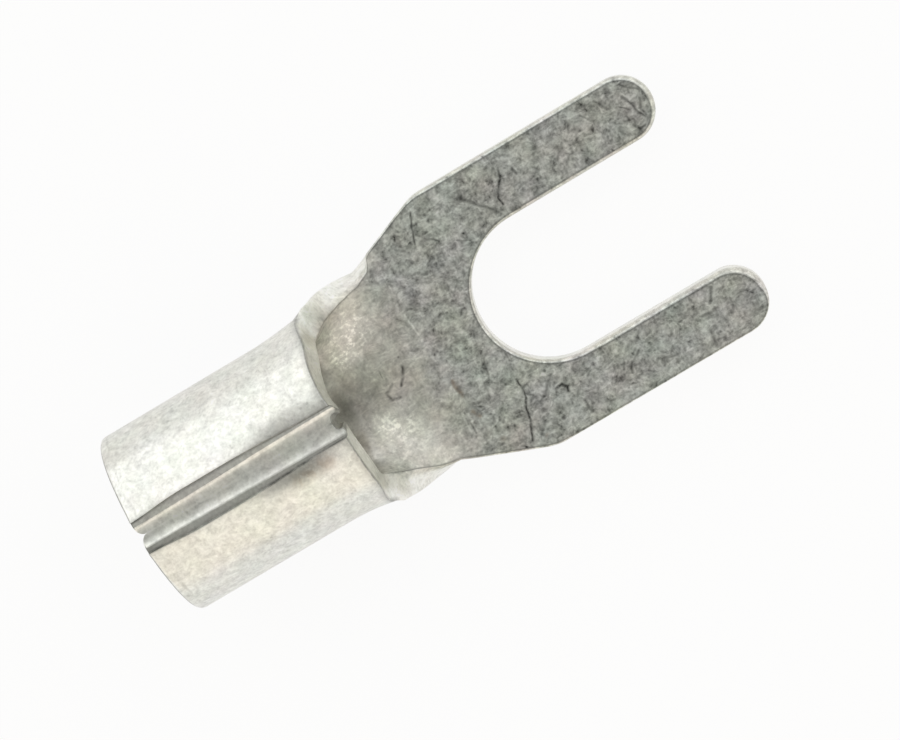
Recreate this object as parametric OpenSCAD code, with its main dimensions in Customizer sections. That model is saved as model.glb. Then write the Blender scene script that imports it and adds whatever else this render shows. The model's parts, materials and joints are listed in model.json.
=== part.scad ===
// Fork terminal, stamped and rolled from one piece of tin-plated copper sheet.
// The origin is the centre of the stud slot's round end, on the underside of the tongue.
// +X runs from the wire barrel to the tips of the tines, and +Z points up through the seam.

/* [Sheet] */
// Thickness of the sheet
sheet_t = 1; // [0.8:0.05:1.2]

/* [Barrel] */
// Bore that takes the stripped wire
barrel_bore = 3.5; // [3:0.1:4.2]
// Length of the barrel
barrel_len = 6.4; // [5:0.1:8]
// Rolled-over break on the outer edge of the wire end
barrel_break = 0.08; // [0.04:0.01:0.3]
// Lead-in at the mouth of the bore
bore_lead = 0.2; // [0.05:0.01:0.3]

/* [Seam] */
// Width of the seam strip at the wire end
seam_w_back = 0.9; // [0.7:0.05:1.2]
// Width of the seam strip at the neck end
seam_w_front = 1.12; // [0.7:0.05:1.3]
// Depth of the strip's bed below the top of the barrel
seam_bed = 0.15; // [0.1:0.01:0.2]
// Share of the strip's width that the round groove takes
seam_groove_share = 0.66; // [0.5:0.02:0.8]
// Height of the groove's axis above the strip's bed
seam_groove_rise = 0.55; // [0.2:0.05:0.6]
// Radius of the round notch where the blank's corners meet at the neck end
notch_front_r = 0.18; // [0.15:0.01:0.3]
// How far that notch reaches back from the barrel's front edge
notch_front_reach = 0.28; // [0.16:0.01:0.4]
// Radius of the shallow notch where the corners meet at the wire end
notch_back_r = 0.5; // [0.3:0.01:0.7]
// How far the shallow notch reaches in from the wire end
notch_back_reach = 0.12; // [0.1:0.01:0.25]

/* [Neck] */
// Length over which the rolled barrel opens out to the flat tongue
neck_len = 2.5; // [1.8:0.1:3.5]
// Width of the blank at the neck's waist
neck_w = 6.1; // [5:0.1:6.6]
// Fillet between the barrel's front edge and the neck's side
neck_fillet = 1; // [0.6:0.05:1.2]

/* [Tongue] */
// Flat length from the end of the neck to the slot's centre
flat_back = 3.9; // [3.6:0.1:6]
// Width over both tines
fork_w = 8.15; // [7.4:0.05:9.5]
// Width of the slot that straddles the stud
slot_w = 4.3; // [3.2:0.1:4.6]
// Reach of the tines past the slot's centre
tine_reach = 5.2; // [4:0.1:7]
// Distance from the slot's centre back to the shoulders
shoulder_back = 2.1; // [1.6:0.1:2.8]
// Slope of the shoulders from the long axis, in degrees
shoulder_slope = 22; // [18:1:35]
// Radius of the shoulders' corners
shoulder_r = 1.4; // [0.5:0.1:2]

/* [Hidden] */
$fn = 96;

// Overlap that carries one form into the next
lap = 0.3;
// How far the flat slab of the tongue reaches back over the last of the neck, where the curl is all but gone
slab_lap = 0.2;
// How far the neck's ends stay inside the skin of what they run into
tuck = 0.02;
// Rows of facets round the neck's fillet, and along the rest of the neck
fillet_rows = 8;
neck_rows = 10;
// Facets across the rolled sheet
neck_cols = 24;
// How soon the barrel starts to open out: under 1 is sooner
open_power = 0.7;
// How fast the last of its curl goes: over 1 leaves the neck flatter near the tongue
open_fall = 1.5;
// Curvature below which the sheet counts as flat
flat_curl = 0.0001;
// Facets round a shoulder's corner
corner_steps = 6;

barrel_r = barrel_bore / 2 + sheet_t;
barrel_front = -flat_back - neck_len;
barrel_back = barrel_front - barrel_len;
neck_front = -flat_back;
tongue_back = neck_front - slab_lap;
tine_w = (fork_w - slot_w) / 2;
tine_y = (fork_w + slot_w) / 4;
barrel_curl = 1 / (barrel_r - sheet_t / 2);

// Ease from 0 to 1 with level ends
function ease(t) = t * t * (3 - 2 * t);
// How far along the neck a station lies, from 0 at the barrel to 1 at the tongue
function neck_share(x) = min(1, max(0, (x - barrel_front) / neck_len));
// Curvature of the rolled sheet: that of the barrel at first, none at the tongue
function curl(x) = barrel_curl * pow(1 - ease(pow(neck_share(x), open_power)), open_fall);

// Half-width of the blank along the shoulder's slope, and round the fillet at the barrel
function slope_half(x) = fork_w / 2 + (x + shoulder_back) * tan(shoulder_slope);
function fillet_reach(x) = max(0, neck_fillet - max(0, x - barrel_front));
function fillet_half(x) = neck_w / 2 + neck_fillet - sqrt(pow(neck_fillet, 2) - pow(fillet_reach(x), 2));
function blank_half(x) = max(fillet_half(x), slope_half(x));

// A point of the rolled sheet at distance s along it from the centre line, and d above its middle.
// The centre line of the underside stays level.
function rolled(x, s, d) =
    let (k = curl(x), a = k * s * 180 / PI)
    k < flat_curl
        ? [x, s, sheet_t / 2 + d]
        : [x, (1 / k - d) * sin(a), sheet_t / 2 + 1 / k - (1 / k - d) * cos(a)];

// One row across the neck at x, as wide as the blank is at the given station:
// the under face from side to side, then the upper face back again
function neck_ring(x, station) =
    let (half = blank_half(station) - tuck, face = sheet_t / 2 - tuck)
    [
        for (j = [0 : neck_cols]) rolled(x, half * (2 * j / neck_cols - 1), -face),
        for (j = [neck_cols : -1 : 0]) rolled(x, half * (2 * j / neck_cols - 1), face)
    ];

// The outline's turn at a shoulder, as an arc set inside the corner
function shoulder_arc(side) =
    let (cut = shoulder_r * tan(shoulder_slope / 2), centre = fork_w / 2 - shoulder_r)
    [for (i = [0 : corner_steps])
        let (a = 90 + shoulder_slope * (1 - i / corner_steps))
        [cut - shoulder_back + shoulder_r * cos(a), side * (centre + shoulder_r * sin(a))]];

// A skin through equal rings of points, closed by a strip of facets at each end
module ring_loft(rings) {
    size = len(rings[0]);
    last = len(rings) - 1;
    half = size / 2;
    side_facets = [
        for (i = [0 : last - 1], j = [0 : size - 1])
            let (a = i * size + j, b = i * size + (j + 1) % size)
            each [[a, b + size, b], [a, a + size, b + size]]
    ];
    end_facets = [
        for (j = [0 : half - 2])
            let (a = j, b = j + 1, c = size - 2 - j, d = size - 1 - j, e = last * size)
            each [[a, b, c], [a, c, d], [e + a, e + c, e + b], [e + a, e + d, e + c]]
    ];
    polyhedron(points = [for (r = rings) each r], faces = concat(side_facets, end_facets), convexity = 6);
}

// The rolled neck. Both ends run on into the barrel's wall and the tongue, just inside their skins.
module neck() {
    fillet_end = barrel_front + neck_fillet;
    fillet_x = [for (i = [1 : fillet_rows]) fillet_end - neck_fillet * cos(90 * i / fillet_rows)];
    rest_x = [for (i = [1 : neck_rows]) fillet_end + (tongue_back - fillet_end) * (i - 0.5) / neck_rows];
    stations = concat([barrel_front - lap], fillet_x, rest_x, [tongue_back + lap]);
    ring_loft([for (x = stations) neck_ring(x, min(x, tongue_back))]);
}

// The wire barrel's tube, lying along X
module tube() {
    translate([barrel_back, 0, barrel_r])
        rotate([0, 90, 0])
            rotate_extrude()
                polygon([
                    [barrel_bore / 2 + bore_lead, 0],
                    [barrel_r - barrel_break, 0],
                    [barrel_r, barrel_break],
                    [barrel_r, barrel_len],
                    [barrel_bore / 2, barrel_len],
                    [barrel_bore / 2, bore_lead]
                ]);
}

// The bed of the seam strip, which widens towards the neck, and the round groove along it
module seam_cut() {
    bed_z = 2 * barrel_r - seam_bed;
    run = barrel_len + 2 * lap;
    groove_half = seam_groove_share / 2;
    translate([0, 0, bed_z])
        linear_extrude(height = sheet_t)
            polygon([
                [barrel_back - lap, -seam_w_back / 2],
                [barrel_front + lap, -seam_w_front / 2],
                [barrel_front + lap, seam_w_front / 2],
                [barrel_back - lap, seam_w_back / 2]
            ]);
    translate([barrel_back - lap, 0, bed_z + seam_groove_rise])
        rotate([0, 90, 0])
            cylinder(
                h = run,
                r1 = norm([seam_groove_rise, seam_w_back * groove_half]),
                r2 = norm([seam_groove_rise, seam_w_front * groove_half])
            );
}

// The round notches in the barrel's top wall where the seam ends
module seam_notches() {
    translate([barrel_front - notch_front_reach + notch_front_r, 0, barrel_r])
        cylinder(h = barrel_r + lap, r = notch_front_r);
    translate([barrel_back + notch_back_reach - notch_back_r, 0, barrel_r])
        cylinder(h = barrel_r + lap, r = notch_back_r);
}

module barrel() {
    difference() {
        tube();
        seam_cut();
        seam_notches();
    }
}

// The flat tongue before the slot is cut: shoulders, then two tines with round tips
module tongue_outline() {
    tip_x = tine_reach - tine_w / 2;
    root_half = blank_half(tongue_back);
    polygon(concat(
        [[tongue_back, -root_half]],
        shoulder_arc(-1),
        [[tip_x, -fork_w / 2], [tip_x, fork_w / 2]],
        [for (i = [corner_steps : -1 : 0]) shoulder_arc(1)[i]],
        [[tongue_back, root_half]]
    ));
    for (side = [-1, 1])
        translate([tip_x, side * tine_y])
            circle(d = tine_w);
}

module tongue() {
    difference() {
        linear_extrude(height = sheet_t)
            tongue_outline();
        translate([0, 0, -lap])
            cylinder(h = sheet_t + 2 * lap, d = slot_w);
        translate([0, -slot_w / 2, -lap])
            cube([tine_reach + lap, slot_w, sheet_t + 2 * lap]);
    }
}

module fork_terminal() {
    color([0.72, 0.71, 0.68])
        union() {
            barrel();
            neck();
            tongue();
        }
}

fork_terminal();
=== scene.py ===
import bpy
import bmesh
import json
import math
from mathutils import Matrix, Vector


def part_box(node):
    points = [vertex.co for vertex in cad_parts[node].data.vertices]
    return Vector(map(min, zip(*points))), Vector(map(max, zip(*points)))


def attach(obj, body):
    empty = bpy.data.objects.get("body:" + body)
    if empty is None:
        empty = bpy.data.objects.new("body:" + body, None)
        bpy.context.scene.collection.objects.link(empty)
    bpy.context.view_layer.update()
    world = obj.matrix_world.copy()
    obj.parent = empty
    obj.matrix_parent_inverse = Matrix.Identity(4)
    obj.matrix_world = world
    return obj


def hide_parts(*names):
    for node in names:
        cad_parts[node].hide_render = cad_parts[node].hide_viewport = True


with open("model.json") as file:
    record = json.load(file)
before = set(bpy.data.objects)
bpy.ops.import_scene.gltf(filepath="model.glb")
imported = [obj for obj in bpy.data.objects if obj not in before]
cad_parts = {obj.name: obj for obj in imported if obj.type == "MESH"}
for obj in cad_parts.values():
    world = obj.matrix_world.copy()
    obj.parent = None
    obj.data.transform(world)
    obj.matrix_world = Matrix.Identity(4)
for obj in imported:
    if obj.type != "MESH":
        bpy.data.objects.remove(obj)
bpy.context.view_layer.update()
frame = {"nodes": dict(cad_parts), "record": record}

print("frame loaded:", sorted(frame["nodes"]))

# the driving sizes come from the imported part, in mm
perMetre = 1000.0
mounts = {m["name"]: m for m in frame["record"]["mounts"]}
nodeLow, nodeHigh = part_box("fork_terminal")
slotDims = mounts["stud_slot"]["dims"]
boreDims = mounts["wire_barrel"]["dims"]
sheet = slotDims["length_mm"]
slotRadius = slotDims["r_mm"]
barrelRadius = boreDims["r_mm"] + sheet
midRadius = boreDims["r_mm"] + sheet / 2
barrelFront = mounts["wire_barrel"]["pos_m"][0] * perMetre + boreDims["length_mm"] / 2
barrelBack = nodeLow[0] * perMetre
tipEnd = nodeHigh[0] * perMetre
forkHalf = nodeHigh[1] * perMetre
tipRadius = (forkHalf - slotRadius) / 2
tipX = tipEnd - tipRadius         # the centre of a tine's round tip
tipY = forkHalf - tipRadius
seamAt = math.pi * midRadius      # half of the blank's width where it is rolled shut
quarter = math.pi / 2

hair = 1e-4                       # slack where places are compared
least = 1e-6                      # a length under this counts as none


def ramp(start, end, x):
    return min(1.0, max(0.0, (x - start) / (end - start)))


def ease(start, end, x):
    t = ramp(start, end, x)
    return t * t * (3 - 2 * t)


def hump(start, full, fall, end, x):
    # rises from start to full and falls away from fall to end
    return ease(start, full, x) * (1 - ease(fall, end, x))


def blend(a, b, share):
    return a + (b - a) * share


# the flat blank

blank = {
    "neckHalf": 3.05,
    "neckFillet": 1.0,
    "shoulderBack": 2.1,
    "shoulderSlope": math.radians(22),
    "shoulderRadius": 1.4,
    "notchRadius": 0.15,      # the notch where the blank's corners meet at the neck
    "notchReach": 0.26,       # more than the notch's radius and lip together
    "notchLip": 0.08,
    "backCorner": 0.24,
    "cornerSteps": 8,         # edges round each kind of arc
    "lipSteps": 5,
    "filletSteps": 18,
    "shoulderSteps": 6,
    "roundSteps": 32,
    "topRim": 0.05,           # even rims, before they are widened
    "topRimSteps": 4,
    "underRim": 0.07,
    "underRimSteps": 3,
    "rimLine": 0.055,         # width of the painted shade line inside the top rim
    "barrelStep": 0.25,       # distances between the slices
    "neckStep": 0.1,
    "tongueStep": 0.2,
    "acrossStep": 0.16,
    "snap": 0.004,            # a slice this near to a point goes through it
    "mirrorMerge": 0.0005,
    "rolledMerge": 0.001,
    "edgeSkin": 0.04,         # a cut edge shows its full tone this far inside both skins
    "sharpFrom": math.radians(38),
}


def vertsOf(geom):
    return [g for g in geom if isinstance(g, bmesh.types.BMVert)]


def allOf(bm):
    return bm.verts[:] + bm.edges[:] + bm.faces[:]


def lineTo(bm, vert, x, y):
    grown = bmesh.ops.extrude_vert_indiv(bm, verts=[vert])["verts"][0]
    grown.co = (x, y, 0)
    return grown


def arcTo(bm, vert, x, y, turn, steps):
    swept = bmesh.ops.spin(bm, geom=[vert], cent=(x, y, 0), axis=(0, 0, 1), dvec=(0, 0, 0),
                           angle=turn, steps=steps, use_merge=False, use_duplicate=False)
    return vertsOf(swept["geom_last"])[0]


def drawHalfBlank(bm):
    b = blank
    slope = b["shoulderSlope"]
    waistX = -b["shoulderBack"] - (forkHalf - b["neckHalf"]) / math.tan(slope)
    cut = b["shoulderRadius"] * math.tan(slope / 2)
    filletTop = b["neckHalf"] + b["neckFillet"]
    notchX = barrelFront - b["notchReach"] + b["notchRadius"]
    lipX = barrelFront - b["notchLip"]
    lipY = seamAt - b["notchRadius"] - b["notchLip"]
    first = bm.verts.new((barrelBack, 0, 0))
    v = lineTo(bm, first, barrelBack, seamAt - b["backCorner"])
    v = arcTo(bm, v, barrelBack + b["backCorner"], seamAt - b["backCorner"], -quarter, b["cornerSteps"])
    v = lineTo(bm, v, barrelFront - b["notchReach"], seamAt)
    v = arcTo(bm, v, notchX, seamAt, quarter, b["cornerSteps"])
    v = lineTo(bm, v, lipX, seamAt - b["notchRadius"])
    v = arcTo(bm, v, lipX, lipY, -quarter, b["lipSteps"])
    v = lineTo(bm, v, barrelFront, filletTop)
    v = arcTo(bm, v, barrelFront + b["neckFillet"], filletTop, quarter, b["filletSteps"])
    v = lineTo(bm, v, waistX, b["neckHalf"])
    v = lineTo(bm, v, -b["shoulderBack"] - cut * math.cos(slope), forkHalf - cut * math.sin(slope))
    v = arcTo(bm, v, cut - b["shoulderBack"], forkHalf - b["shoulderRadius"], -slope, b["shoulderSteps"])
    v = lineTo(bm, v, tipX, forkHalf)
    v = arcTo(bm, v, tipX, tipY, -2 * quarter, b["roundSteps"])
    v = lineTo(bm, v, 0, slotRadius)
    v = arcTo(bm, v, 0, 0, quarter, b["roundSteps"])
    bmesh.ops.contextual_create(bm, geom=[v, first])
    bmesh.ops.edgeloop_fill(bm, edges=bm.edges[:])


def giveThickness(bm):
    grown = bmesh.ops.extrude_face_region(bm, geom=bm.faces[:])["geom"]
    bmesh.ops.translate(bm, verts=vertsOf(grown), vec=(0, 0, sheet))
    bmesh.ops.recalc_face_normals(bm, faces=bm.faces[:])


def rollRim(bm, height, offset, segments):
    level = [e for e in bm.edges if all(abs(v.co.z - height) < hair for v in e.verts)]
    rim = [e for e in level if max(v.co.y for v in e.verts) > hair]
    bmesh.ops.bevel(bm, geom=rim, offset=offset, offset_type="OFFSET", affect="EDGES", segments=segments,
                    profile=0.5, material=-1, clamp_overlap=False)


def markRim(bm, layer):
    # a narrow band inside the top rim, so that the painted shade line along it can fade out
    top = max(bm.faces, key=lambda f: f.calc_center_median().z)
    for v in top.verts:
        v[layer] = 1.0
    bmesh.ops.inset_region(bm, faces=[top], thickness=blank["rimLine"], use_even_offset=True)
    for v in top.verts:
        v[layer] = 0.0
        if v.co.y < blank["rimLine"] + hair:
            v.co.y = 0.0


def openCutFaces(bm):
    # the wall on the centre line, and the butt faces that the seam closes
    flat = [f for f in bm.faces if all(v.co.y < hair for v in f.verts)]
    butt = [f for f in bm.faces if all(v.co.y > seamAt - hair for v in f.verts)]
    bmesh.ops.delete(bm, geom=flat + butt, context="FACES")


def sliceAt(bm, point, normal):
    bmesh.ops.bisect_plane(bm, geom=allOf(bm), dist=blank["snap"], plane_co=point, plane_no=normal)


def stations(start, end, step):
    count = max(1, round((end - start) / step))
    return [start + (end - start) * i / count for i in range(1, count)]


def sliceBlank(bm):
    b = blank
    along = stations(barrelBack, barrelFront, b["barrelStep"])
    along += stations(barrelFront, roll["flatStart"], b["neckStep"]) + [roll["flatStart"]]
    along += stations(roll["flatStart"], tipEnd, b["tongueStep"])
    for x in along:
        sliceAt(bm, (x, 0, 0), (1, 0, 0))
    across = stations(0, seamAt - seam["fade"], b["acrossStep"])
    across += [seamAt - midRadius * math.asin(away / barrelRadius) for away in seam["columns"]]
    for y in across:
        sliceAt(bm, (0, y, 0), (0, 1, 0))
    sliceAt(bm, (0, 0, soot["depth"]), (0, 0, 1))


# its rims, as the punch and the shear left them

rims = {
    "narrow": 0.1,            # the punch rolled the tongue's top rim over this far
    "more": 0.075,            # and this much further on the edges that face the tips and +Y
    "facingX": 0.8,
    "facingY": 0.6,
    "outer": 0.75,            # share of that on the outer edge at +Y
    "outerTurn": (-0.1, 0.7), # an edge counts as an outer one as it turns to face outwards
    "sharp": 0.03,            # the outer edge at -Y stayed sharp
    "tongue": (-3.0, -1.2),   # along X, where the wider rim begins on the outer edges
    "slot": (-1.5, 1.0),      # and where it grows to its full width round the slot
    "slotShare": 0.5,
    "depth": 1.8,             # depth of the rolled rim for its width
    "fade": 0.45,             # the top face gives way over this distance
    "back": 0.14,             # the barrel's outer rim at the wire end
    "backEnd": (0.24, 0.72),  # from the seam, where it grows
    "front": 0.03,            # the barrel's outer rim at the neck
    "frontEnd": (0.25, 0.5),
    "frontClear": 0.3,        # and how far it stays clear of the neck's side
}


def tongueEdge(x, y):
    # nearest point of the tongue's outline, and how wide the rim is rolled there
    side = math.copysign(1, y)
    across = abs(y)
    if x > tipX:
        out = Vector((x - tipX, across - tipY)).normalized()
        spot = Vector((tipX, tipY)) + out * tipRadius
    elif across > tipY:
        out = Vector((0, 1))
        spot = Vector((x, forkHalf))
    elif x > 0:
        out = Vector((0, -1))
        spot = Vector((x, slotRadius))
    else:
        out = -Vector((x, across)).normalized()
        spot = -out * slotRadius
    facing = rims["facingX"] * out.x + rims["facingY"] * out.y * side
    width = rims["narrow"] + rims["more"] * max(0, facing)
    if out.y > 0:
        onTongue = ease(*rims["tongue"], x)
        edge = width * rims["outer"] if side > 0 else rims["sharp"]
        width = blend(width, edge, ease(*rims["outerTurn"], out.y) * onTongue)
        width = blend(width, blank["topRim"], 1 - onTongue)
    else:
        width *= blend(rims["slotShare"], 1, ease(*rims["slot"], x))
    spot.y *= side
    return spot, width


def widenTop(v):
    rim = blank["topRim"]
    x, y, z = v.co
    spot, width = tongueEdge(x, y)
    inward = Vector((x, y)) - spot
    reach = inward.length
    if reach < rim + hair:
        grown = reach * width / rim
        v.co.z = sheet - (sheet - z) * width * rims["depth"] / rim
    else:
        inside = reach - rim - blank["rimLine"]
        grown = reach + (width - rim) * (1 - ease(0, rims["fade"], inside))
    if reach > least:
        v.co.xy = spot + inward * (grown / reach)


def widenUnder(v, end, rim, fromSeamLine):
    gain = blend(1, rim / blank["underRim"], ease(*fromSeamLine, seamAt - abs(v.co.y)))
    v.co.x = end + (v.co.x - end) * gain
    v.co.z *= gain


def widenRims(bm):
    under = blank["underRim"] + hair
    for v in bm.verts:
        x, y, z = v.co
        if z > sheet - blank["topRim"] - hair and x > rims["tongue"][0]:
            widenTop(v)
        elif z < under and x < barrelBack + under:
            widenUnder(v, barrelBack, rims["back"], rims["backEnd"])
        elif z < under and abs(x - barrelFront) < under and abs(y) > blank["neckHalf"] + rims["frontClear"]:
            widenUnder(v, barrelFront, rims["front"], rims["frontEnd"])


# the rolled form: spans are along X from the barrel's front, or round the blank from its middle

roll = {
    "flatStart": -3.9,        # X where the neck has opened out to the flat tongue
    "flatCurl": 1e-4,         # curvature below which the sheet is flat
    "frontSlack": 0.001,      # what lies this near to the barrel's front belongs to the barrel
    "openPower": 0.7,
    "openFall": 1.5,
    "flareFrom": -7.9,        # X between which the barrel's mouth spreads a little
    "flareTo": -5.7,
    "flare": 0.066,
    "stagger": -0.05,         # shift along X of the mouth's half at -Y
    "staggerRun": (-1.5, 0),
    "staggerSoft": 0.3,       # none at the seam, all of it this far away
    "lean": 0.22,             # the mouth's end face leans back this far at the outer skin
    "leanAlong": (-0.6, 0, 0, 0.5),
    "leanAcross": (3.2, 3.9),
    "leanSeam": (0.3, 0.5),   # from the seam
    "leanLess": 0.65,         # share of the lean that is missing towards the seam
    "leanLessAcross": (4.3, 5.3),
    "thin": 0.22,             # share of the sheet that is worn off inside the mouth's sides
    "thinAlong": (-0.9, 0.1, 0.1, 1.1),
    "thinAcross": (1.5, 3.0, 4.4, 5.8),
    "skew": 0.28,             # at +Y the side of the mouth stands forward
    "skewAlong": (-1.2, 0, 0.2, 1.6),
    "skewAcross": (2.2, 3.6, 4.1, 6.4),
    "skewBack": 0.07,         # and its top stands back
    "skewBackAcross": (4.6, 5.6, 6.2, 6.9),
    "bend": 0.31,             # the neck's cut side at +Y leans in by this much
    "bendRise": (0.1, 1.3),
    "bendFall": (2.2, 2.45),
    "bendAcross": (2.0, 3.0),
}


def curlAt(x):
    along = ramp(barrelFront, roll["flatStart"], x)
    return (1 - ease(0, 1, along ** roll["openPower"])) ** roll["openFall"] / midRadius


def flareAt(x):
    rise = ramp(roll["flareFrom"], barrelFront, x)
    fall = ramp(barrelFront, roll["flareTo"], x)
    return 1 + roll["flare"] * rise ** 2 * (1 - fall) ** 2


def thinAt(x, s):
    return roll["thin"] * hump(*roll["thinAlong"], x - barrelFront) * hump(*roll["thinAcross"], abs(s))


def leanAt(x, s):
    lean = roll["lean"] * (1 - roll["leanLess"] * ease(*roll["leanLessAcross"], abs(s)))
    across = ease(*roll["leanAcross"], abs(s)) * ease(*roll["leanSeam"], seamAt - abs(s))
    return lean * across * hump(*roll["leanAlong"], x - barrelFront)


def skewAt(x, s):
    side = roll["skew"] * hump(*roll["skewAcross"], s)
    top = roll["skewBack"] * hump(*roll["skewBackAcross"], s)
    return (side - top) * hump(*roll["skewAlong"], x - barrelFront)


def bendAt(x, s, z):
    along = ramp(*roll["bendRise"], x - barrelFront) * (1 - ease(*roll["bendFall"], x - barrelFront))
    return roll["bend"] * along * ease(*roll["bendAcross"], s) * z / sheet


# the seam along the barrel's top: spans are along X from the barrel's front, or sideways from the seam

seam = {
    "groove": 0.335,          # borders of groove and land on the flat blank
    "land": 0.565,
    "fade": 1.05,
    "grooveBack": 0.3,        # and where they end up
    "grooveFront": 0.385,
    "landBack": 0.47,
    "landMiddle": 0.57,
    "landFront": 0.48,
    "landGrows": 1.6,         # the land widens over this length from the wire end
    "landShrinks": (-3.4, -0.6),
    "lip": 0.85,              # the groove's floor ends in a steep lip at +Y
    "lipRise": 0.55,
    "offset": 0.05,           # the strip lies this far to +Y
    "wider": 0.045,           # and reaches this much further at -Y
    "bed": 0.15,              # depth of the land below the barrel's top
    "grooveDepth": 0.075,
    "wall": 0.03,
    "ridge": 0.12,            # beside the seam the sheet rises to a crest at the wire end
    "ridgeSpread": 1.1,
    "flatten": 0.085,         # and is pressed flat towards the neck
    "flattenSpread": 1.4,
    "flattenFrom": (-3.6, -1.4),
    "flattenTo": (-1.4, 0),
    "flattenLoss": 0.6,       # share of that which is gone at the mouth
    "flattenSide": 0.4,       # this far out at -Y
    "flattenSideLoss": 2 / 3, # this share is gone too
    "facet": 0.45,            # share by which a facet at -Y is pressed down
    "facetSoft": 0.03,
    "facetAlong": (-3.7, -2.2, -1.5, -0.5),
    "facetAcross": (0.65, 1.15),
    "columns": (0.06, 0.12, 0.18, 0.24, 0.29, 0.335, 0.36, 0.45, 0.535, 0.565, 0.6, 0.68, 0.78, 0.9, 1.05),
}
seamBed = 2 * barrelRadius - seam["bed"]


def fromSeam(s):
    return barrelRadius * math.sin(min(quarter, (seamAt - abs(s)) / midRadius))


def seamBorders(x):
    groove = blend(seam["grooveBack"], seam["grooveFront"], ease(barrelBack, barrelFront, x))
    land = blend(seam["landBack"], seam["landMiddle"], ease(0, seam["landGrows"], x - barrelBack))
    land += (seam["landFront"] - seam["landMiddle"]) * ease(*seam["landShrinks"], x - barrelFront)
    return groove, land


def seamShift(x, away, side):
    # slides the borders on the blank to where they lie along the seam
    groove, land = seamBorders(x)
    if side < 0:
        groove += seam["wider"]
        land += seam["wider"]
    if away <= seam["groove"]:
        return groove * ramp(0, seam["groove"], away)
    if away <= seam["land"]:
        return blend(groove, land, ramp(seam["groove"], seam["land"], away))
    return blend(land, seam["fade"], ramp(seam["land"], seam["fade"], away))


def seamHeight(away, side):
    share = ramp(0, seam["groove"], away)
    if side < 0:
        depth = 1 - share * share
    elif share < seam["lip"]:
        depth = 1 - (1 - seam["lipRise"]) * (share / seam["lip"]) ** 2
    else:
        depth = seam["lipRise"] * (1 - share) / (1 - seam["lip"])
    return seamBed - seam["grooveDepth"] * depth


def facetSpan(x):
    return hump(*seam["facetAlong"], x - barrelFront)


def facetAt(x, away, height):
    # how far the sheet at -Y is pressed down to the level of the land
    over = height - seamBed
    soft = (over + math.sqrt(over * over + seam["facetSoft"] ** 2)) / 2
    return seam["facet"] * facetSpan(x) * soft * (1 - ease(*seam["facetAcross"], away))


def besideSeam(x, y):
    front = ease(*seam["flattenFrom"], x - barrelFront)
    ridge = seam["ridge"] * (1 - front) * (1 - ramp(0, seam["ridgeSpread"], abs(y)) ** 2) ** 2
    press = seam["flatten"] * front * (1 - seam["flattenLoss"] * ease(*seam["flattenTo"], x - barrelFront))
    press *= 1 - seam["flattenSideLoss"] * ease(0, seam["flattenSide"], -y)
    return ridge - press * (1 - ramp(0, seam["flattenSpread"], abs(y)) ** 2) ** 2


def rolled(co):
    x, s, z = co
    k = curlAt(x)
    s -= bendAt(x, s, z)
    if k < roll["flatCurl"]:
        return Vector((x, s, z))
    z *= 1 - thinAt(x, s)
    x -= leanAt(x, s) * (1 - z / sheet)
    radius = 1 / k - (z - sheet / 2)
    spot = Vector((x, radius * math.sin(s * k), sheet / 2 + 1 / k - radius * math.cos(s * k)))
    spot.y *= flareAt(x)
    spot.x += skewAt(x, s)
    if x > barrelFront + roll["frontSlack"] or abs(s) < seamAt / 2:
        return spot
    away = fromSeam(s)
    top = ease(barrelRadius, 2 * barrelRadius, spot.z)
    spot.z += top * besideSeam(x, spot.y)
    if s < 0:
        spot.z -= facetAt(x, away, spot.z) * ease(sheet, 0, z)
        stagger = roll["stagger"] * ease(*roll["staggerRun"], x - barrelFront)
        spot.x += stagger * top * ease(0, roll["staggerSoft"], away)
    if z < sheet / 2 and away < seam["fade"]:
        spot.y = math.copysign(seamShift(x, away, s), s) if away > hair else 0
        spot.y += seam["offset"] * (1 - ease(seam["land"], seam["fade"], away))
        if away < seam["land"] - seam["wall"] / 2:
            spot.z = min(spot.z, seamHeight(away, s))
    return spot


# marks that each point carries from the flat blank to the finish

# painted shade in the seam's creases and on its recessed lands, where shade falls
crease = {
    "skin": 0.06,             # only this near to the outer skin
    "back": 0.9,              # more painted shade over this length at the wire end
    "front": (-2.6, -0.6),    # and towards the neck
    "corner": (0.09, 0.7, 0.4),   # half-width, then what the wire end and the front add
    "cornerLoss": 0.5,        # share that the facet lacks
    "land": (0.65, 0.5, 0.3), # strength, then what the wire end and the front add
    "landStart": 0.03,
    "landEnd": 0.04,
    "wall": 2.1,              # strength at the foot of the facet
    "wallHalf": 0.06,
}

# painted shade on the barrel's end rims and in the shadowed notch
soot = {
    "depth": 0.2,             # how far down the wall the painted shade of an outer rim reaches
    "slack": 0.01,
    "backFace": 0.004,        # depth of the wire end's face
    "backRim": 0.03,          # and of its rim
    "backClear": 0.72,        # the face has no painted shade this near to the seam
    "onFace": 0.3,
    "frontCore": 0.025,       # half-widths of the band on the rim at the neck
    "frontSide": 0.035,
    "onCore": 0.8,
    "onSide": 0.4,
    "notchReach": 0.3,        # the notch's wall at the neck
    "notchHalf": 0.24,
    "notchSkin": 0.02,
    "inNotch": 0.8,
}

throat = {
    "start": -0.5,            # along X from the barrel's front
    "lipLeft": 0.55,          # under the lip at +Y
    "lipRight": 0.4,          # and at -Y
    "lipAlong": (-0.2, 0.08),
    "lipAcross": (0.5, 1.4),
    "floor": 0.21,
    "floorAlong": (-0.3, 1.3),
    "floorAcross": (0.3, 1.5),
}


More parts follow.
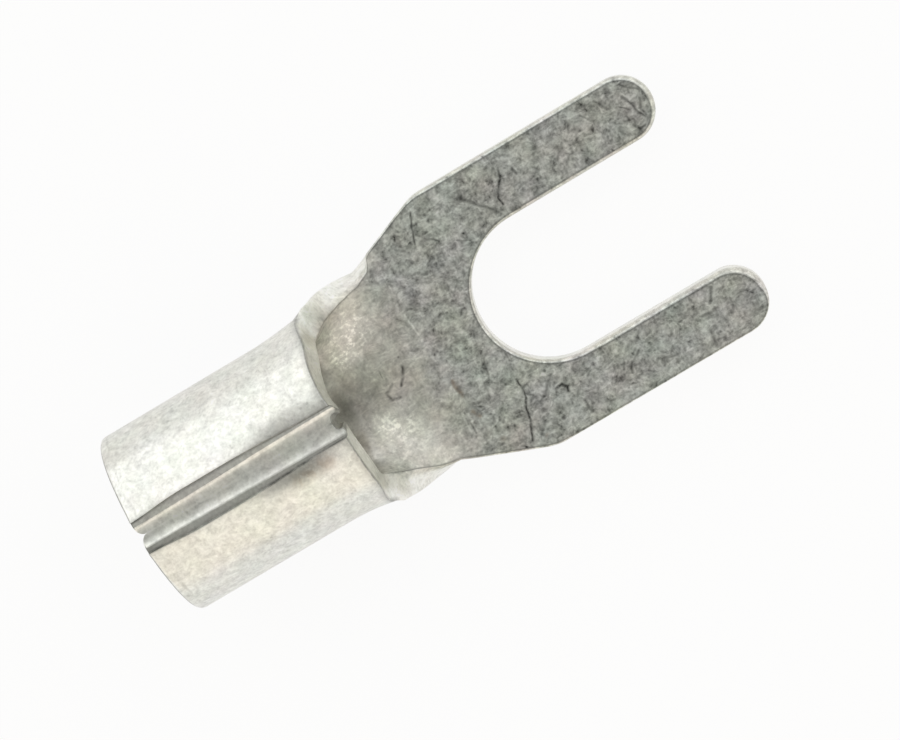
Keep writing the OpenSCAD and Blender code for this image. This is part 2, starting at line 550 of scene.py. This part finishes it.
def seamShadeAt(co):
    # painted shade in the corner of the land, and all over the land at -Y
    x, s, z = co
    if x > barrelFront + roll["frontSlack"] or z > crease["skin"] or abs(s) < seamAt / 2:
        return 0.0
    away = fromSeam(s)
    facet = facetSpan(x)
    back = 1 - ease(0, crease["back"], x - barrelBack)
    front = ease(*crease["front"], x - barrelFront)
    half, moreBack, moreFront = crease["corner"]
    corner = max(0, 1 - abs(away - seam["land"] + seam["wall"]) / half)
    corner *= 1 + moreBack * back + moreFront * front
    if s > 0:
        return corner
    strength, moreBack, moreFront = crease["land"]
    reach = blend(seam["land"] + crease["landEnd"], seam["fade"], facet)
    land = strength * hump(seam["groove"], seam["groove"] + crease["landStart"], seam["land"], reach, away)
    land *= 1 + moreBack * back + moreFront * front
    wall = max(0, 1 - abs(away - seam["land"] + seam["wall"] / 2) / crease["wallHalf"])
    return max(corner * (1 - crease["cornerLoss"] * facet), land, crease["wall"] * facet * wall)


def endShadeAt(co):
    # painted shade on the outer rims of the barrel's two ends, and in the notch
    x, s, z = co
    fromBack = x - barrelBack
    fromFront = abs(x - barrelFront)
    toSeam = seamAt - abs(s)
    if z < soot["depth"] - soot["slack"]:
        if soot["backFace"] < fromBack < soot["backRim"] and toSeam > blank["backCorner"]:
            return 1.0
        if fromBack <= soot["backFace"] and toSeam > soot["backClear"]:
            return soot["onFace"]
        if fromFront < soot["frontSide"] and abs(s) > blank["neckHalf"]:
            return soot["onCore"] if fromFront < soot["frontCore"] else soot["onSide"]
    inWall = soot["notchSkin"] < z < sheet - soot["notchSkin"]
    if inWall and x > barrelFront - soot["notchReach"] and toSeam < soot["notchHalf"]:
        return soot["inNotch"]
    return 0.0


def throatAt(co):
    # shade under the lip of the mouth and along the floor of the scoop
    x, s, z = co
    reach = x - barrelFront
    if reach < throat["start"] or z < sheet - hair:
        return 0.0
    lip = throat["lipLeft"] if s > 0 else throat["lipRight"]
    lip *= (1 - ease(*throat["lipAlong"], reach)) * ease(*throat["lipAcross"], abs(s))
    floor = (1 - ease(*throat["floorAlong"], reach)) * (1 - ease(*throat["floorAcross"], abs(s)))
    return max(lip, throat["floor"] * floor)


marks = {
    "crease": seamShadeAt,
    "flatness": lambda co: 1 - curlAt(co.x) * midRadius,
    "inner": lambda co: co.z / sheet,
    "soot": endShadeAt,
    "throat": throatAt,
    "edge": lambda co: ease(0, blank["edgeSkin"], min(co.z, sheet - co.z)),
}


def makeObject(name, bm):
    mesh = bpy.data.meshes.new(name)
    bm.to_mesh(mesh)
    bm.free()
    made = bpy.data.objects.new(name, mesh)
    bpy.context.scene.collection.objects.link(made)
    return made


def makeTerminal():
    bm = bmesh.new()
    drawHalfBlank(bm)
    giveThickness(bm)
    rollRim(bm, sheet, blank["topRim"], blank["topRimSteps"])
    rollRim(bm, 0, blank["underRim"], blank["underRimSteps"])
    markRim(bm, bm.verts.layers.float.new("rimLine"))
    openCutFaces(bm)
    print("blank stamped:", len(bm.verts), "points")
    sliceBlank(bm)
    print("blank sliced:", len(bm.verts), "points")
    bmesh.ops.mirror(bm, geom=allOf(bm), axis="Y", merge_dist=blank["mirrorMerge"])
    widenRims(bm)
    layers = [(bm.verts.layers.float.new(name), markAt) for name, markAt in marks.items()]
    for v in bm.verts:
        for layer, markAt in layers:
            v[layer] = markAt(v.co)
        v.co = rolled(v.co)
    bmesh.ops.remove_doubles(bm, verts=bm.verts[:], dist=blank["rolledMerge"])
    bmesh.ops.recalc_face_normals(bm, faces=bm.faces[:])
    loose = [e for e in bm.edges if len(e.link_faces) != 2]
    print("rolled:", len(bm.verts), "points,", len(loose), "open edges")
    bmesh.ops.scale(bm, vec=(1 / perMetre,) * 3, verts=bm.verts[:])
    piece = makeObject("terminal", bm)
    piece.data.polygons.foreach_set("use_smooth", [True] * len(piece.data.polygons))
    piece.data.set_sharp_from_angle(angle=blank["sharpFrom"])
    weigh = piece.modifiers.new("evenShading", "WEIGHTED_NORMAL")
    weigh.keep_sharp = True
    return piece


terminal = makeTerminal()
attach(terminal, "root")
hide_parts("fork_terminal")


# the finish

plate = {
    "colour": (0.83, 0.835, 0.79, 1),
    "scoopTint": (1.0, 0.99, 0.965, 1),
    "tongueTint": (0.975, 1.0, 1.0, 1),
    # near-black end of the painted shade under the mouth's lip and on the scoop's floor
    "throatTint": (0.05, 0.025, 0.0, 1),
    "brown": (0.3, 0.21, 0.14, 1),
    "tongueDrift": 1.6,       # how unevenly the grain of the tongue begins, in mm
    "driftReach": 0.22,       # how far the drift bends the other patterns, in mm
    "pit": 4.6,               # pits per mm
    "pitDark": 0.45,
    "fleck": (3.0, 9.0, 3.0), # flecks per mm, which lie in two directions
    "fleckTurns": (0.55, -0.8),
    "fleckLight": 0.3,
    "edgeBare": 0.95,         # share of the tongue's grey that the cut edges lack
    # painted highlight along the cut edges
    "edgeLight": 0.12,
    # painted shade line inside the top rim, where the crisp edge casts shade
    "rimLine": 0.58,
    # strength of the painted shade along the seam
    "crease": 0.5,
    # strength of the painted shade on the barrel's ends and in the notch
    "soot": 0.75,
    "backLine": 0.28,         # a smudged line this far in from the wire end
    "backLineDark": 0.22,
    "strokeSoft": 1.9,        # a stroke fades out at this many half-widths
    "scratchDark": 0.95,
    "witnessLight": 0.45,
    # painted highlight in the scoop's glint patches, brighter in spots
    "glint": 0.13,
    "glintFleck": 0.35,
    "speckHeight": 0.5,       # share of the specks in the bump
}

# noise patterns: number per mm, detail and roughness
patterns = {
    "drift": (1.7, 2.0, 0.5),
    "border": (1.8, 3.0, 0.5),
    "blotch": (2.0, 3.0, 0.6),
    "grain": (4.6, 2.0, 0.6),
    "speck": (11.0, 2.0, 0.6),
    "fleck": (1.0, 1.0, 0.5),
    "tint": (1.1, 2.0, 0.5),
}
noiseMean = 0.5
white = (1, 1, 1, 1)

# what each value is stretched between, and what that gives where it isn't 0 and 1
spans = {
    "tongue": (-4.1, -2.5),
    "inside": (0.6, 0.95),
    "scoop": (0.0, 0.05),
    "pitChance": (0.45, 0.95),
    "pit": (0.08, 0.3, 1.0, 0.0),
    "fleck": (0.58, 0.74),
    "stain": (0.35, 0.6, 0.4, 1.0),
    "dimple": (1.0, 1.25),
    "grime": (0.35, 0.6, 0.6, 1.0),
    "backLine": (0.07, 0.0),
    "backLineGaps": (0.42, 0.6),
    "scratch": (0.35, 0.6, 0.55, 1.0),
}

# how strongly each pattern shows on the barrel, in the scoop of the neck and on the tongue
zones = {
    "shade": (1.0, 0.74, 0.7),
    "tint": (0.07, 0.1, 0.15),
    "blotch": (0.35, 0.5, 1.0),
    "grain": (0.65, 0.8, 2.2),
    "speck": (0.55, 0.6, 1.3),
    "pits": (0.35, 0.3, 1.0),
    "flecks": (0.1, 0.55, 0.8),
    "rough": (0.3, 0.58, 0.37),
    "bump": (0.000002, 0.000004, 0.000004),
}

# scratches on the top face: half-width in mm, weight, then the points that each runs through
scratches = [
    (0.028, 0.85, (-2.3, 3.65), (-2.45, 3.35), (-2.5, 3.15), (-2.6, 2.85)),
    (0.032, 0.95, (0.5, 3.5), (0.2, 3.0), (0.05, 2.75), (0.1, 2.55)),
    (0.05, 0.7, (-0.9, 3.4), (-0.65, 3.05), (-0.45, 2.8), (-0.25, 2.55)),
    (0.03, 0.6, (-2.3, 2.85), (-2.15, 2.75), (-2.0, 2.6)),
    (0.028, 0.5, (-1.55, 2.35), (-1.3, 2.2)),
    (0.05, 1.0, (3.8, 3.6), (3.9, 3.4)),
    (0.026, 0.6, (3.7, 3.75), (3.9, 3.4), (4.2, 3.25), (4.45, 3.0)),
    (0.033, 0.5, (3.15, 3.55), (3.3, 3.35), (3.6, 3.05)),
    (0.034, 0.7, (2.35, 3.2), (2.25, 3.05)),
    (0.034, 0.5, (2.8, 3.55), (2.7, 3.35)),
    (0.04, 0.8, (0.75, 3.25), (0.8, 3.1)),
    (0.045, 0.8, (4.45, 3.4), (4.6, 3.15), (4.6, 2.95), (4.75, 2.5)),
    (0.035, 0.8, (4.85, 3.15), (4.75, 2.9), (4.75, 2.45)),
    (0.047, 0.85, (4.35, 2.6), (4.45, 2.4), (4.6, 2.4)),
    (0.025, 0.6, (4.6, 3.75), (4.9, 3.4), (5.0, 3.1), (5.0, 2.8)),
    (0.026, 0.7, (-3.85, -1.95), (-3.9, -2.6)),
    (0.036, 0.85, (-4.7, 0.05), (-4.85, -0.15), (-5.0, -0.35)),
    (0.04, 0.65, (-5.2, -0.15), (-5.5, -0.3), (-5.45, -0.6), (-5.2, -0.65)),
    (0.02, 0.5, (-5.3, 0.45), (-5.4, -0.1)),
    (0.028, 0.5, (-2.6, -0.9), (-2.8, -1.5)),
    (0.036, 0.95, (-2.1, -1.85), (-2.15, -2.3), (-2.3, -2.7), (-2.4, -3.05), (-2.6, -3.55)),
    (0.034, 0.7, (-2.15, -2.3), (-1.95, -2.5)),
    (0.04, 0.95, (-1.3, -2.65), (-1.1, -2.6), (-1.0, -2.75), (-1.05, -2.9)),
    (0.05, 0.8, (-0.8, -3.35), (-0.75, -3.75)),
    (0.031, 0.7, (0.75, -2.9), (0.65, -3.15)),
    (0.037, 0.7, (0.9, -3.15), (0.8, -3.35)),
    (0.036, 0.6, (-1.25, -2.25), (-1.75, -2.65), (-1.9, -2.75)),
    (0.04, 0.7, (3.85, -2.4), (3.65, -2.75)),
    (0.043, 0.6, (3.25, -3.0), (3.6, -3.0)),
    (0.05, 0.7, (3.25, -3.45), (3.2, -3.95)),
    (0.043, 0.6, (1.75, -3.45), (2.05, -3.55)),
    (0.034, 0.6, (0.85, -3.15), (1.25, -2.95)),
]

# pits of the same kind: radius, weight, place
dots = [
    (0.045, 0.7, (3.6, 2.85)), (0.045, 0.9, (-3.75, -0.1)), (0.034, 0.7, (-4.65, 0.35)),
    (0.034, 0.6, (-2.5, 0.4)), (0.045, 0.9, (-3.4, -2.0)), (0.05, 0.9, (-1.55, -3.45)),
    (0.043, 0.7, (-2.45, -1.85)), (0.045, 0.7, (2.55, -3.0)), (0.045, 0.7, (2.25, -3.0)),
    (0.043, 0.6, (2.0, -2.9)), (0.048, 0.7, (1.4, -2.6)), (0.05, 0.8, (1.6, -2.9)),
]

# pale lines that the press tool left where the neck begins
witnessLines = [
    (0.024, 0.5, (-3.85, 2.65), (-3.85, 2.1)),
    (0.03, 0.9, (-3.9, 1.3), (-3.85, 0.6)),
    (0.024, 0.6, (-3.95, -1.9), (-4.0, -2.5)),
    (0.024, 0.5, (-3.8, -2.0), (-3.85, -2.55)),
]

# painted highlights on the scoop's slopes, where the plating catches the light
glints = [
    (0.42, 1.0, (-6.0, 1.3, 1.2), (-5.3, 1.6, 1.2)),
    (0.34, 0.6, (-6.0, -1.1, 1.2), (-5.5, -1.3, 1.2)),
]

brownStains = [
    (0.05, 0.7, (-3.7, -1.0), (-3.65, -1.5)),
    (0.07, 0.9, (-3.65, -2.05), (-3.55, -2.2)),
    (0.07, 0.5, (-3.3, -3.1)),
    (0.07, 0.5, (-2.2, -3.65)),
    (0.2, 0.5, (-8.2, -0.8, 5.3), (-7.3, -0.75, 5.35)),
]


class Bench:
    # short ways to add and join shader nodes in one tree
    def __init__(self, tree):
        self.tree = tree

    def feed(self, socket, value):
        if hasattr(value, "is_output"):
            self.tree.links.new(value, socket)
        elif value is not None:
            socket.default_value = value

    def feedEach(self, node, values):
        for key, value in values:
            self.feed(node.inputs[key], value)

    def add(self, kind, **inputs):
        node = self.tree.nodes.new("ShaderNode" + kind)
        self.feedEach(node, inputs.items())
        return node

    def calc(self, operation, a, b=None):
        node = self.add("Math")
        node.operation = operation
        self.feedEach(node, enumerate((a, b)))
        return node.outputs[0]

    def times(self, a, b):
        return self.calc("MULTIPLY", a, b)

    def plus(self, a, b):
        return self.calc("ADD", a, b)

    def minus(self, a, b):
        return self.calc("SUBTRACT", a, b)

    def larger(self, a, b):
        return self.calc("MAXIMUM", a, b)

    def vector(self, operation, a, b=None, c=None, scale=None):
        node = self.add("VectorMath")
        node.operation = operation
        self.feedEach(node, enumerate((a, b, c, scale)))
        return node.outputs[1 if operation in ("DOT_PRODUCT", "DISTANCE") else 0]

    def remap(self, value, low, high, toLow=0.0, toHigh=1.0):
        node = self.add("MapRange", Value=value)
        node.interpolation_type = "SMOOTHSTEP"
        self.feedEach(node, (("From Min", low), ("From Max", high), ("To Min", toLow), ("To Max", toHigh)))
        return node.outputs[0]

    def mix(self, share, a, b):
        node = self.add("Mix")
        node.data_type = "RGBA"
        self.feedEach(node, ((0, share), (6, a), (7, b)))
        return node.outputs[2]

    def mixShaders(self, share, a, b):
        node = self.add("MixShader")
        self.feedEach(node, enumerate((share, a, b)))
        return node.outputs[0]

    def noise(self, name, place):
        scale, detail, rough = patterns[name]
        return self.add("TexNoise", Vector=place, Scale=scale, Detail=detail, Roughness=rough).outputs

    def layer(self, name):
        node = self.add("Attribute")
        node.attribute_name = name
        return node.outputs["Fac"]

    def zoned(self, name, scoop, tongue):
        # a number for each zone, blended by the masks of scoop and tongue
        barrel, inScoop, onTongue = zones[name]
        value = self.plus(self.times(scoop, inScoop - barrel), barrel)
        return self.plus(value, self.times(tongue, onTongue - barrel))


def strokeGroup():
    # a soft line from one point to another
    tree = bpy.data.node_groups.new("stroke", "ShaderNodeTree")
    for name in ("Place", "Start", "Along", "Share"):
        tree.interface.new_socket(name=name, in_out="INPUT", socket_type="NodeSocketVector")
    for name in ("Width", "Weight"):
        tree.interface.new_socket(name=name, in_out="INPUT", socket_type="NodeSocketFloat")
    tree.interface.new_socket(name="Mask", in_out="OUTPUT", socket_type="NodeSocketFloat")
    k = Bench(tree)
    given = tree.nodes.new("NodeGroupInput").outputs
    rel = k.vector("SUBTRACT", given["Place"], given["Start"])
    along = k.add("Clamp", Value=k.vector("DOT_PRODUCT", rel, given["Share"])).outputs[0]
    gap = k.vector("DISTANCE", rel, k.vector("SCALE", given["Along"], scale=along))
    mask = k.remap(gap, given["Width"], 0.0, 0.0, given["Weight"])
    tree.links.new(mask, tree.nodes.new("NodeGroupOutput").inputs["Mask"])
    return tree


def drawStrokes(k, group, place, strokes):
    # a point without a height lies on the tongue's top
    total = 0.0
    for half, weight, *points in strokes:
        width = plate["strokeSoft"] * half
        for start, end in zip(points, points[1:] or points):
            a, b = (Vector((*spot, sheet)[:3]) for spot in (start, end))
            along = b - a
            share = along / max(along.length_squared, least)
            node = k.add("Group")
            node.node_tree = group
            k.feedEach(node, (("Place", place), ("Start", a), ("Along", along), ("Share", share)))
            k.feedEach(node, (("Width", width), ("Weight", weight)))
            total = k.larger(node.outputs["Mask"], total)
    return total


def zoneMasks(k, place, along):
    # where the grainy tongue begins is uneven, and the scoop of the neck is duller
    flatness = k.layer("flatness")
    uneven = k.times(k.noise("border", place)[0], plate["tongueDrift"])
    tongue = k.remap(k.plus(along, uneven), *spans["tongue"])
    tongue = k.times(tongue, k.minus(1.0, k.times(k.layer("edge"), plate["edgeBare"])))
    inside = k.remap(k.layer("inner"), *spans["inside"])
    scoop = k.times(inside, k.remap(flatness, *spans["scoop"]))
    return k.times(scoop, k.minus(1.0, tongue)), tongue


def pitsIn(k, place):
    cells = k.add("TexVoronoi", Vector=place, Scale=plate["pit"])
    chance = k.remap(k.add("SeparateColor", Color=cells.outputs["Color"]).outputs[0], *spans["pitChance"])
    return k.times(k.remap(cells.outputs["Distance"], *spans["pit"]), chance)


def flecksIn(k, place):
    fleck = 0.0
    for turn in plate["fleckTurns"]:
        laid = k.add("Mapping", Vector=place, Rotation=(0, 0, turn), Scale=plate["fleck"]).outputs[0]
        fleck = k.larger(k.remap(k.noise("fleck", laid)[0], *spans["fleck"]), fleck)
    return fleck


# painted shade along the rim line, the seam and the barrel's ends, with a darker line near the wire end and
# dark scratches, all made patchy
def shadeAndGrimeIn(k, along, scratch, blotch, grain, speck):
    patchy = k.remap(grain, *spans["grime"])
    offLine = k.calc("ABSOLUTE", k.minus(along, barrelBack + plate["backLine"]))
    backLine = k.times(k.remap(offLine, *spans["backLine"]), k.remap(blotch, *spans["backLineGaps"]))
    grime = k.times(k.layer("rimLine"), plate["rimLine"])
    for name in ("crease", "soot"):
        grime = k.larger(grime, k.times(k.layer(name), plate[name]))
    grime = k.larger(grime, k.times(backLine, plate["backLineDark"]))
    grime = k.times(grime, patchy)
    scratch = k.times(scratch, k.remap(speck, *spans["scratch"]))
    return k.larger(grime, k.times(scratch, plate["scratchDark"]))


def tinPlate():
    mat = bpy.data.materials.new("tinPlate")
    mat.use_nodes = True
    k = Bench(mat.node_tree)
    shader = mat.node_tree.nodes["Principled BSDF"]
    place = k.vector("SCALE", k.add("TexCoord").outputs["Object"], scale=perMetre)
    drift = k.vector("SUBTRACT", k.noise("drift", place)["Color"], (noiseMean,) * 3)
    bent = k.vector("MULTIPLY_ADD", drift, (plate["driftReach"],) * 3, place)
    along = k.add("SeparateXYZ", Vector=bent).outputs[0]
    masks = zoneMasks(k, place, along)
    scoop, tongue = masks

    # light and dark from the patterns
    blotch, grain, speck = (k.noise(name, bent)[0] for name in ("blotch", "grain", "speck"))
    tone = 1.0
    for name, pattern in (("blotch", blotch), ("grain", grain), ("speck", speck)):
        tone = k.plus(k.times(k.minus(pattern, noiseMean), k.zoned(name, *masks)), tone)
    pit = pitsIn(k, bent)
    fleck = flecksIn(k, bent)
    pitDark = k.times(k.times(pit, plate["pitDark"]), k.zoned("pits", *masks))
    fleckLight = k.times(k.times(fleck, plate["fleckLight"]), k.zoned("flecks", *masks))
    tone = k.plus(k.minus(tone, pitDark), fleckLight)

    # marks drawn from the listed strokes, painted highlights in the scoop, and the painted shade and grime
    # over them
    group = strokeGroup()
    scratch = drawStrokes(k, group, bent, scratches + dots)
    witness = drawStrokes(k, group, place, witnessLines)
    stain = k.times(drawStrokes(k, group, bent, brownStains), k.remap(grain, *spans["stain"]))
    glint = drawStrokes(k, group, bent, glints)
    dimple = k.remap(k.plus(grain, speck), *spans["dimple"])
    glint = k.times(glint, k.plus(k.times(dimple, plate["glintFleck"]), plate["glint"]))
    tone = k.plus(tone, glint)
    # painted shade and grime darken the tone
    grime = shadeAndGrimeIn(k, along, scratch, blotch, grain, speck)
    tone = k.plus(tone, k.times(witness, plate["witnessLight"]))
    # painted highlight along the cut edges
    tone = k.plus(tone, k.times(k.layer("edge"), plate["edgeLight"]))
    tone = k.times(tone, k.minus(1.0, grime))

    # colour
    tint = k.vector("SUBTRACT", k.noise("tint", place)["Color"], (noiseMean,) * 3)
    tint = k.vector("SCALE", tint, scale=k.zoned("tint", *masks))
    colour = k.mix(stain, plate["colour"], plate["brown"])
    for mask, name in ((scoop, "scoopTint"), (tongue, "tongueTint"), (k.layer("throat"), "throatTint")):
        colour = k.vector("MULTIPLY", colour, k.mix(mask, white, plate[name]))
    tone = k.times(tone, k.zoned("shade", *masks))
    colour = k.vector("MULTIPLY", colour, k.vector("ADD", tint, white[:3]))
    k.feed(shader.inputs["Base Color"], k.vector("SCALE", colour, scale=tone))

    shader.inputs["Metallic"].default_value = 1
    k.feed(shader.inputs["Roughness"], k.zoned("rough", *masks))
    height = k.plus(grain, k.times(speck, plate["speckHeight"]))
    bump = k.add("Bump", Height=height, Distance=k.zoned("bump", *masks))
    k.feed(shader.inputs["Normal"], bump.outputs[0])
    return mat


terminal.data.materials.append(tinPlate())
print("finish made")


# floor, light and camera

studio = {
    "floorSide": 1.2,
    "floorDrop": 0.00002,
    "floorGrey": (0.9, 0.9, 0.9, 1),
    "floorSeen": (0.88, 0.87, 0.85, 1),   # what the terminal's reflections show
    "shadowShare": 0.1,                   # how much of the shadow the camera sees on the white floor
}

tent = {
    "coolSide": (1.2, 1.2, 1.18, 1),
    "warmSide": (1.0, 0.94, 0.85, 1),
    "sides": (-0.5, 0.3),                 # along Y, where the warm side gives way to the cool one
    "opening": (0.35, 0.35, 0.33, 1),     # the dark top, where the lens looks in
    "openingCore": math.radians(16),
    "openingEdge": math.radians(40),
}


def makeFloor():
    bm = bmesh.new()
    bmesh.ops.create_grid(bm, x_segments=1, y_segments=1, size=studio["floorSide"] / 2)
    bmesh.ops.translate(bm, verts=bm.verts[:], vec=(0, 0, -studio["floorDrop"]))
    floor = makeObject("floor", bm)
    mat = bpy.data.materials.new("paleFloor")
    mat.use_nodes = True
    nodes = mat.node_tree.nodes
    nodes.remove(nodes["Principled BSDF"])
    k = Bench(mat.node_tree)
    matte = k.add("BsdfDiffuse", Color=studio["floorGrey"]).outputs[0]
    bright = k.add("Emission", Color=white).outputs[0]
    pale = k.add("Emission", Color=studio["floorSeen"]).outputs[0]
    path = k.add("LightPath").outputs
    seen = k.mixShaders(studio["shadowShare"], bright, matte)
    mirrored = k.mixShaders(path["Is Glossy Ray"], matte, pale)
    final = k.mixShaders(path["Is Camera Ray"], mirrored, seen)
    k.feed(nodes["Material Output"].inputs["Surface"], final)
    floor.data.materials.append(mat)


def makeTent():
    world = bpy.data.worlds.new("tent")
    bpy.context.scene.world = world
    world.use_nodes = True
    k = Bench(world.node_tree)
    back = world.node_tree.nodes["Background"]
    way = k.add("SeparateXYZ", Vector=k.add("TexCoord").outputs["Generated"]).outputs
    walls = k.mix(k.remap(way["Y"], *tent["sides"]), tent["warmSide"], tent["coolSide"])
    height = k.remap(way["Z"], math.cos(tent["openingEdge"]), math.cos(tent["openingCore"]))
    k.feed(back.inputs["Color"], k.mix(height, walls, tent["opening"]))
    k.feed(back.inputs["Strength"], 1.0)


view = {
    "leanX": math.radians(5.5),     # towards the tines
    "leanY": math.radians(4.55),    # towards +Y
    "turn": math.radians(30.73),
    "distance": 0.1,
    "aimX": -0.0037,
    "aimY": -0.00076,
    "frameWidth": 900 * 0.0000284,  # what the picture's width covers at the aim point
    "sensor": 36.0,
    "clipStart": 0.005,
}


def makeCamera():
    away = Vector((math.sin(view["leanX"]), math.sin(view["leanY"]), 0))
    away.z = math.sqrt(1 - away.length_squared)
    right = Vector((math.cos(view["turn"]), -math.sin(view["turn"]), 0))
    right = (right - right.dot(away) * away).normalized()
    up = away.cross(right)
    place = Vector((view["aimX"], view["aimY"], 0)) + away * view["distance"]
    data = bpy.data.cameras.new("camera")
    data.sensor_width = view["sensor"]
    data.lens = view["sensor"] * view["distance"] / view["frameWidth"]
    data.clip_start = view["clipStart"]
    camera = bpy.data.objects.new("camera", data)
    camera.matrix_world = Matrix.Translation(place) @ Matrix((right, up, away)).transposed().to_4x4()
    bpy.context.scene.collection.objects.link(camera)
    bpy.context.scene.camera = camera


makeFloor()
makeTent()
makeCamera()
bpy.context.scene.view_settings.view_transform = "Standard"
print("studio made")
